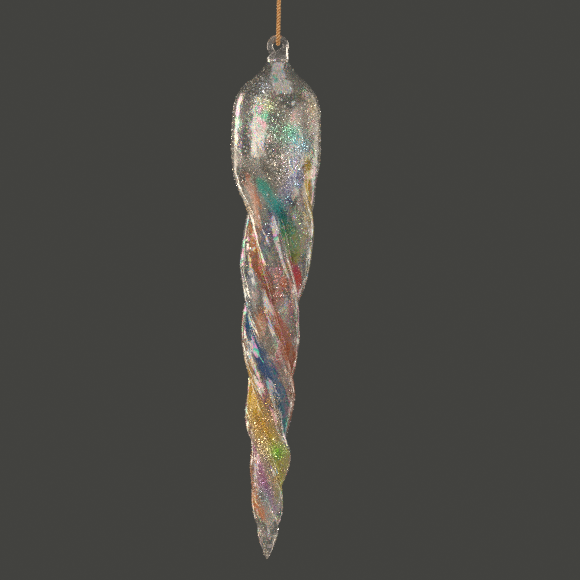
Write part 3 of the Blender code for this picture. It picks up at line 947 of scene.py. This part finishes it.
def glitter_tree():
    """Scatters small lens-shaped flakes on the drop's outer face, tipped at random."""
    tree, given, ends = start_tree(
        "glitter coat", "Density", "Low Height", "High Height", "Smallest", "Largest", "Flatness",
        "Tip Angle", "Seed", "Surface",
    )
    height = attribute_in(tree, "height")
    outside = maths(tree, "LESS_THAN", attribute_in(tree, "inset"), 0.01 * MM)
    over = maths(tree, "GREATER_THAN", height, given["Low Height"])
    under = maths(tree, "LESS_THAN", height, given["High Height"])
    place = node(tree, "GeometryNodeInputPosition").outputs[0]
    clumps = {"Vector": place, "Scale": CLUMP_SCALE, "Detail": 3.0}
    clumps = node(tree, "ShaderNodeTexNoise", clumps).outputs[0]
    factor = scaled(tree, clumps, 0.35, 0.7, 0.25, 1.9)
    richness = attribute_in(tree, "richness")
    density = product(tree, outside, over, under, factor, given["Density"], richness)
    spread = node(
        tree,
        "GeometryNodeDistributePointsOnFaces",
        {"Mesh": given["Geometry"], "Density": density, "Seed": given["Seed"]},
        distribute_method="RANDOM",
    ).outputs
    flake = node(tree, "GeometryNodeMeshUVSphere", {"Segments": 4, "Rings": 2, "Radius": 1.0})
    size = node(
        tree,
        "FunctionNodeRandomValue",
        {2: given["Smallest"], 3: given["Largest"], "Seed": SIZE_SEED},
        data_type="FLOAT",
    ).outputs[1]
    swing = node(
        tree,
        "FunctionNodeRandomValue",
        {0: [-s for s in SWING_SHARES], 1: SWING_SHARES, "Seed": SWING_SEED},
        data_type="FLOAT_VECTOR",
    ).outputs[0]
    tip = point_of(tree, given["Tip Angle"], given["Tip Angle"], 1.0)
    turn = node(tree, "ShaderNodeVectorMath", {0: swing, 1: tip}, operation="MULTIPLY").outputs[0]
    turn = {0: spread["Rotation"], 1: turn}
    tipped = node(tree, "FunctionNodeRotateRotation", turn, rotation_space="LOCAL").outputs[0]
    placed = node(
        tree,
        "GeometryNodeInstanceOnPoints",
        {
            "Points": spread["Points"],
            "Instance": flake.outputs[0],
            "Rotation": tipped,
            "Scale": point_of(tree, size, size, product(tree, size, given["Flatness"])),
        },
    ).outputs[0]
    finish_tree(tree, placed, given["Surface"], ends)
    return tree


GLITTER_TREE = glitter_tree()
GLITTER = flake_finish("iridescent_glitter")
FLAKE_CORNERS = 6

# Painted iridescent highlights: patches where flake tints and extra flakes paint the coat's coloured
# reflections in place: height, degrees round from the front, reach, extra flakes, colour
PAINTED_SHEEN_PATCHES = (
    (184, -24, 4.5, 7, (0.62, 0.72, 1)),
    (176, -22, 4, 6, (0.72, 0.85, 1)),
    (175, -12, 4, 6, (0.8, 1, 0.35)),
    (170, -14, 4, 6, (0.4, 0.95, 0.95)),
    (164, -4, 4.5, 5, (0.45, 1, 0.85)),
    (162, -10, 4, 3, (1, 0.62, 0.55)),
    (166, 14, 4, 8, (0.4, 1, 0.72)),
    (164, 28, 5, 8, (0.22, 0.95, 0.88)),
    (160, 38, 4.5, 5, (0.25, 0.7, 0.95)),
    (155, 32, 6.5, 4.5, (0.7, 0.66, 1)),
    (149, 22, 5, 4, (0.72, 0.7, 1)),
    (176, 58, 5, 5, (1, 0.85, 0.45)),
    (155, 8, 4.5, 5, (1, 0.92, 0.78)),
    (146, 4, 4.5, 3, (1, 0.9, 0.8)),
    (146, 38, 3.5, 6, (0.12, 0.22, 0.95)),
    (140.5, 22, 3.5, 6, (0.2, 0.38, 1)),
    (131, -6, 3, 7, (0.2, 0.45, 1)),
    (138, 5, 3.5, 4, (0.15, 0.85, 0.85)),
    (132, 30, 5, 5, (0.45, 0.95, 0.35)),
    (124, 5, 4, 2, (1, 0.35, 0.6)),
    (115, 18, 3.4, 12, (1, 0.22, 0.08)),
    (110, 2, 3.5, 6, (1, 0.48, 0.12)),
    (103, 14, 4.5, 3, (1, 0.75, 0.75)),
    (136, -52, 4, 5, (1, 0.62, 0.2)),
    (88, 10, 10, 0.5, (1, 0.62, 0.38)),
    (62, -15, 8, 5, (1, 0.74, 0.1)),
    (52, -10, 5.5, 9, (1, 0.7, 0.08)),
    (45, -16, 7, 12, (1, 0.88, 0.42)),
    (42, 30, 4, 9, (0.3, 1, 0.15)),
    (33, 24, 4.5, 9, (1, 0.78, 0.12)),
    (29, -20, 4, 2, (0.95, 0.55, 0.85)),
    (24, -10, 4, 2, (0.4, 0.8, 0.9)),
    (1.5, -10, 2, 10, (1, 0.95, 0.85)),
)
PASTELS = (
    (1, 0.96, 0.88), (0.93, 0.96, 1), (1, 0.8, 0.84), (0.8, 0.9, 1),
    (1, 0.9, 0.62), (0.78, 1, 0.86), (0.86, 0.78, 1), (1, 0.72, 0.52),
)
PASTEL_SHARES = (0.34, 0.12, 0.10, 0.07, 0.20, 0.05, 0.05, 0.07)
THINS_FROM, THINS_TO = 178 * MM, 190 * MM  # towards the neck
THINNED_BY = 0.8
STREAK_REACH = 0.42  # how far a streak colours the coat, as a share of its width
STREAK_HOLD = 0.85  # the most of a flake's tint that a streak takes over
VIVID_GAIN, VIVID_LIFT = 1.5, 0.05
FLAKE_TILT = radians(38)


def round_the_drop(places):
    """Height, bearing from the front, and the drop's radius there."""
    heights = places[:, 2] - TIP_Z
    shifts = np.interp(heights, RULE_HEIGHTS, RULE_SHIFTS)
    bearings = np.arctan2(places[:, 0] - shifts, -places[:, 1])
    return heights, bearings, np.interp(heights, RULE_HEIGHTS, RULE_RADII)


def painted_sheen_at(height, bearing, reach, heights, bearings, radii):
    """How strongly one painted highlight patch reaches each place."""
    aside = (bearings - radians(bearing)) * radii
    gap = np.hypot(heights - height * MM, aside) / (reach * MM)
    return np.exp(-(gap**2))


def tint_flakes(piece, seed):
    """Gives each flake its tint: pale on the whole, a painted highlight colour in a sheen patch, and near
    a streak the streak's.
    """
    mesh = piece.data
    centres = points_of(mesh).reshape(-1, FLAKE_CORNERS, 3).mean(axis=1)
    count = len(centres)
    draw = np.random.default_rng(seed)
    tints = np.array(PASTELS)[draw.choice(len(PASTELS), count, p=PASTEL_SHARES)]
    heights, bearings, radii = round_the_drop(centres)
    turns = bearings - pi / 2 - np.interp(heights, RULE_HEIGHTS, RULE_TWISTS)
    for _, valley, offset, start, end, width, low_tint, tint, high_tint, _ in STREAKS:
        away = (turns - tau * valley / LOBES - offset + pi) % tau - pi
        near = np.exp(-((away * radii / (STREAK_REACH * width * MM)) ** 2))
        inside = (heights > start * MM) & (heights < end * MM)
        share = (STREAK_HOLD * near * inside * draw.uniform(0.2, 1.0, count))[:, None]
        along = (heights / MM - start) / (end - start)
        ramped = [np.interp(along, (0.0, 0.5, 1.0), column) for column in zip(low_tint, tint, high_tint)]
        vivid = np.clip(np.stack(ramped, axis=1) * VIVID_GAIN + VIVID_LIFT, 0.0, 1.0)
        tints = tints * (1 - share) + vivid * share
    # painted highlights: each sheen patch pulls the flake tints towards its colour
    for height, bearing, reach, _, colour in PAINTED_SHEEN_PATCHES:
        sheen_share = painted_sheen_at(height, bearing, reach, heights, bearings, radii)
        share = (sheen_share * draw.uniform(0.4, 1.0, count))[:, None]
        tints = tints * (1 - share) + np.array(colour) * share
    colours = np.ones((count, FLAKE_CORNERS, 4), dtype=np.float32)
    colours[:, :, :3] = tints[:, None, :]
    layer = mesh.attributes.new("flake_tint", "FLOAT_COLOR", "POINT")
    layer.data.foreach_set("color", colours.ravel())


def add_richness(mesh):
    """How thick the coat is at each point: rich where a painted highlight patch lies, to brighten it, thin
    on the neck.
    """
    heights, bearings, radii = round_the_drop(points_of(mesh))
    richness = np.ones(len(mesh.vertices))
    # painted highlights: extra flakes crowd into each sheen patch
    for height, bearing, reach, extra, _ in PAINTED_SHEEN_PATCHES:
        richness += extra * painted_sheen_at(height, bearing, reach, heights, bearings, radii)
    thin = np.clip((heights - THINS_FROM) / (THINS_TO - THINS_FROM), 0.0, 1.0)
    richness *= 1 - THINNED_BY * thin
    layer = mesh.attributes.new("richness", "FLOAT", "POINT")
    layer.data.foreach_set("value", richness.astype(np.float32))


def make_glitter(name, low, high, density, smallest, largest, seed):
    """Glitter over one stretch of the drop."""
    base = add_object(name + "_ground", icicle.data.copy())
    add_richness(base.data)
    sizes = {
        "Density": density,
        "Low Height": low * MM,
        "High Height": high * MM,
        "Smallest": smallest * MM,
        "Largest": largest * MM,
        "Flatness": 0.3,
        "Tip Angle": FLAKE_TILT,
        "Seed": seed,
        "Surface": GLITTER,
    }
    piece = grown(base, GLITTER_TREE, sizes, name)
    tint_flakes(piece, seed)
    return piece


# name, lower and upper end, flakes to the square metre, smallest and largest flake, seed
COATS = (
    ("bulb_glitter", 146.0, 196.0, 0.62e6, 0.14, 0.38, 5),
    ("twist_glitter", 0.4, 146.0, 0.24e6, 0.12, 0.34, 6),
    ("tail_glitter", 0.4, 64.0, 0.55e6, 0.12, 0.36, 7),
)
glitter_coats = [make_glitter(*coat) for coat in COATS]


# ---- hanging eye

CAD_MERGE_DISTANCE = 1e-6
POLISH_GRAIN = 0.2 * MM
MELT_SHARE = 0.6
MELT_PASSES = 9


def make_eye():
    """The curled glass eye, its corners fire-polished."""
    shape = bmesh.new()
    shape.from_mesh(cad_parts["hanging_eye"].data)
    bmesh.ops.remove_doubles(shape, verts=shape.verts, dist=CAD_MERGE_DISTANCE)
    mesh = bpy.data.meshes.new("eye_rough")
    shape.to_mesh(mesh)
    shape.free()
    rough = add_object("eye_rough", mesh)
    remesh = rough.modifiers.new("polish", "REMESH")
    remesh.mode = "VOXEL"
    remesh.voxel_size = POLISH_GRAIN
    remesh.use_smooth_shade = True
    smooth = rough.modifiers.new("melt", "SMOOTH")
    smooth.factor = MELT_SHARE
    smooth.iterations = MELT_PASSES
    depsgraph = bpy.context.evaluated_depsgraph_get()
    polished = bpy.data.meshes.new_from_object(rough.evaluated_get(depsgraph), depsgraph=depsgraph)
    bpy.data.objects.remove(rough)
    polished.materials.clear()
    polished.materials.append(eye_glass())
    eye = add_object("glass_eye", polished)
    face_outwards(eye)
    for face in eye.data.polygons:
        face.use_smooth = True
    return eye


eye = make_eye()


# ---- studio

FLOOR_Z = -330 * MM
FLOOR_RADIUS = 330 * MM
FLOOR_TONES = ((0.3, (0.6, 0.6, 0.6)), (0.7, (0.66, 0.66, 0.66)))
LAMPS = (  # name, place, width, height, watts, colour
    ("key", (-0.75, -0.75, 0.15), 0.9, 0.9, 4.2, (1.0, 0.90, 0.76)),
    ("fill", (0.95, -0.55, -0.05), 0.8, 0.9, 2.6, (1.0, 0.93, 0.84)),
    ("left_rim", (-0.65, 0.45, -0.12), 0.25, 0.8, 1.7, (1.0, 0.88, 0.70)),
    ("right_rim", (0.65, 0.5, -0.12), 0.25, 0.8, 0.8, (1.0, 0.92, 0.80)),
    ("top", (0.05, -0.15, 0.65), 0.7, 0.7, 1.1, (1.0, 0.94, 0.86)),
)
GLINT_LAMPS = (  # place, watts, colour: small lamps that only the glitter and the gold yarn answer
    ((-0.30, -0.80, 0.10), 2.3, (1.0, 0.93, 0.82)),
    ((0.35, -0.75, -0.02), 2.1, (0.95, 0.96, 1.0)),
    ((0.02, -0.70, -0.45), 2.0, (1.0, 0.90, 0.74)),
    ((-0.75, -0.35, -0.25), 2.0, (1.0, 0.85, 0.62)),
    ((0.80, -0.20, 0.05), 1.7, (1.0, 0.93, 0.82)),
    ((-0.10, -0.45, 0.60), 1.7, (0.95, 0.97, 1.0)),
    ((-0.50, 0.60, 0.0), 1.8, (1.0, 0.86, 0.66)),
    ((0.45, 0.65, -0.25), 1.8, (1.0, 0.93, 0.84)),
)
GLINT_RADIUS = 30 * MM
BACKDROP = (0.055, 0.055, 0.050, 1.0)


def make_floor():
    """A plain pale round floor under the hanging drop."""
    shape = bmesh.new()
    bmesh.ops.create_circle(shape, cap_ends=True, segments=96, radius=FLOOR_RADIUS)
    mesh = bpy.data.meshes.new("floor")
    shape.to_mesh(mesh)
    shape.free()
    mesh.transform(Matrix.Translation((0, 0, FLOOR_Z)))
    surface, tree, shader, _ = start_surface("pale_floor")
    dapple = noise_at(tree, object_point(tree), scale=8.0, detail=4.0)
    tone = ramp(tree, dapple, FLOOR_TONES)
    set_shader(tree, shader, Base_Color=tone, Roughness=0.8)
    mesh.materials.append(surface)
    floor = add_object("floor", mesh)


def add_lamp(name, kind, place, watts, colour):
    data = bpy.data.lights.new(name, kind)
    data.energy = watts
    data.color = colour
    lamp = add_object(name, data)
    lamp.location = place
    lamp.visible_camera = False
    return lamp


def make_lamps():
    """Soft lamps aimed at the drop's middle."""
    aim = Vector((0, 0, VIEW_CENTRE_Z))
    for name, place, width, height, watts, colour in LAMPS:
        lamp = add_lamp(name, "AREA", place, watts, colour)
        lamp.data.shape = "RECTANGLE"
        lamp.data.size, lamp.data.size_y = width, height
        lamp.rotation_euler = (aim - Vector(place)).to_track_quat("-Z", "Y").to_euler()


def make_glint_lamps():
    """Small lamps that make the glitter and the yarn sparkle, and leave no spots in the glass."""
    answering = bpy.data.collections.new("sparkling_pieces")
    for piece in (*glitter_coats, gold_loop, loop_knot):
        answering.objects.link(piece)
    for i, (place, watts, colour) in enumerate(GLINT_LAMPS):
        lamp = add_lamp(f"glint_{i}", "POINT", place, watts, colour)
        lamp.data.shadow_soft_size = GLINT_RADIUS
        lamp.light_linking.receiver_collection = answering


def make_world():
    world = bpy.data.worlds.new("studio")
    world.use_nodes = True
    background = world.node_tree.nodes["Background"]
    background.inputs["Color"].default_value = BACKDROP
    background.inputs["Strength"].default_value = 1.0
    bpy.context.scene.world = world


make_floor()
make_lamps()
make_glint_lamps()
make_world()

# Light crosses many layers of glass, streak and flake, and the denoiser would melt the flakes together.
cycles = bpy.context.scene.cycles
cycles.max_bounces = 20
cycles.transmission_bounces = 20
cycles.glossy_bounces = 8
cycles.transparent_max_bounces = 40
cycles.sample_clamp_indirect = 6.0
cycles.use_denoising = False
bpy.context.scene.view_settings.view_transform = "Standard"


# ---- frame

DROP_BODY = "glass_drop"

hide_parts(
    "cord_front_strand", "cord_rear_strand", "cord_bight", "cord_front_tail", "cord_rear_tail"
)
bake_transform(gold_loop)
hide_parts("cord_knot")
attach(loop_knot, "cord_loop")

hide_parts("glass_body")
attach(icicle, DROP_BODY)
for coat in glitter_coats:
    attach(coat, DROP_BODY)
for piece, colour_name in streaks:
    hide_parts(colour_name + "_cane")
    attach(piece, DROP_BODY)
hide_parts("hanging_eye")
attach(eye, DROP_BODY)
